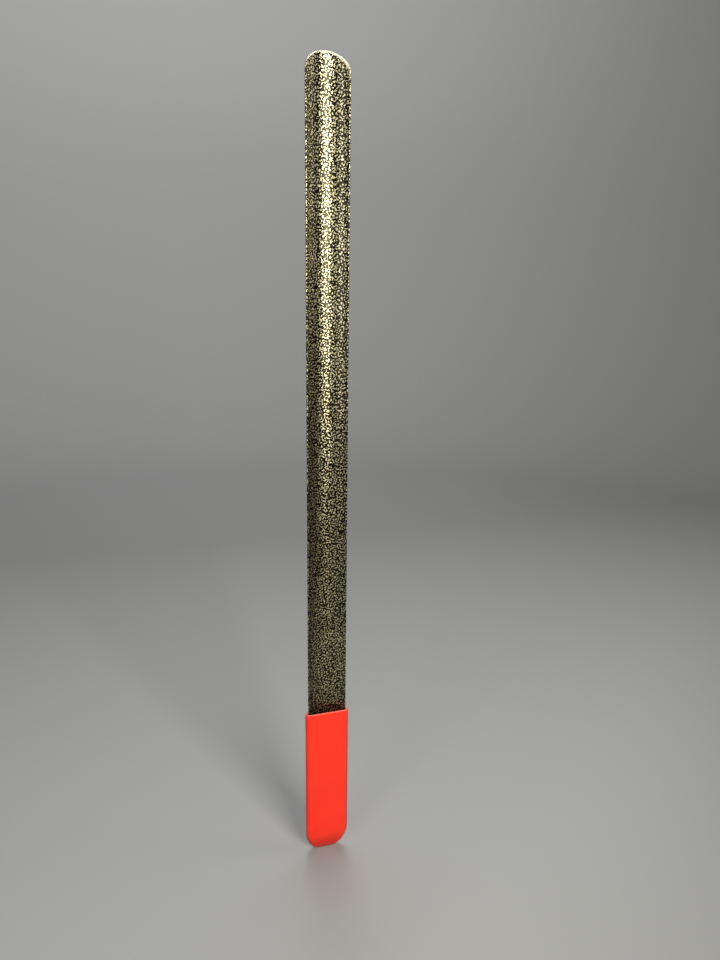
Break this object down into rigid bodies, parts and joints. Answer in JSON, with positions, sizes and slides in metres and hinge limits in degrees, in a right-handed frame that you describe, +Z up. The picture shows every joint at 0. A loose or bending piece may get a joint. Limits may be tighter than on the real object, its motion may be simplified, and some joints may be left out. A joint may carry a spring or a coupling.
{
  "type": "shoehorn",
  "caption": "Long-handled shoehorn: a trough-shaped steel blade with a rounded tip and a slip-on vinyl grip on its handle end.",
  "frame": {"origin": "centre of the object's box in X and Y, on the surface that the closed end of the grip stands on", "axes": "+Z up along the blade from the grip to the rounded tip; +Y from the blade's hollow side to its rounded back; +X across the blade"},
  "size_m": [0.044, 0.0144, 0.762],
  "materials": {
    "silver_vein_coat": "satin",
    "red_vinyl": "satin"
  },
  "bodies": {
    "grip": {"vinyl_grip": "red_vinyl"},
    "blade": {"steel_blade": "silver_vein_coat"}
  },
  "joints": [
    {"name": "blade_pull_out", "type": "slide", "parent": "grip", "child": "blade", "axis": [0, 0, 1], "range_m": [0, 0.16]}
  ]
}
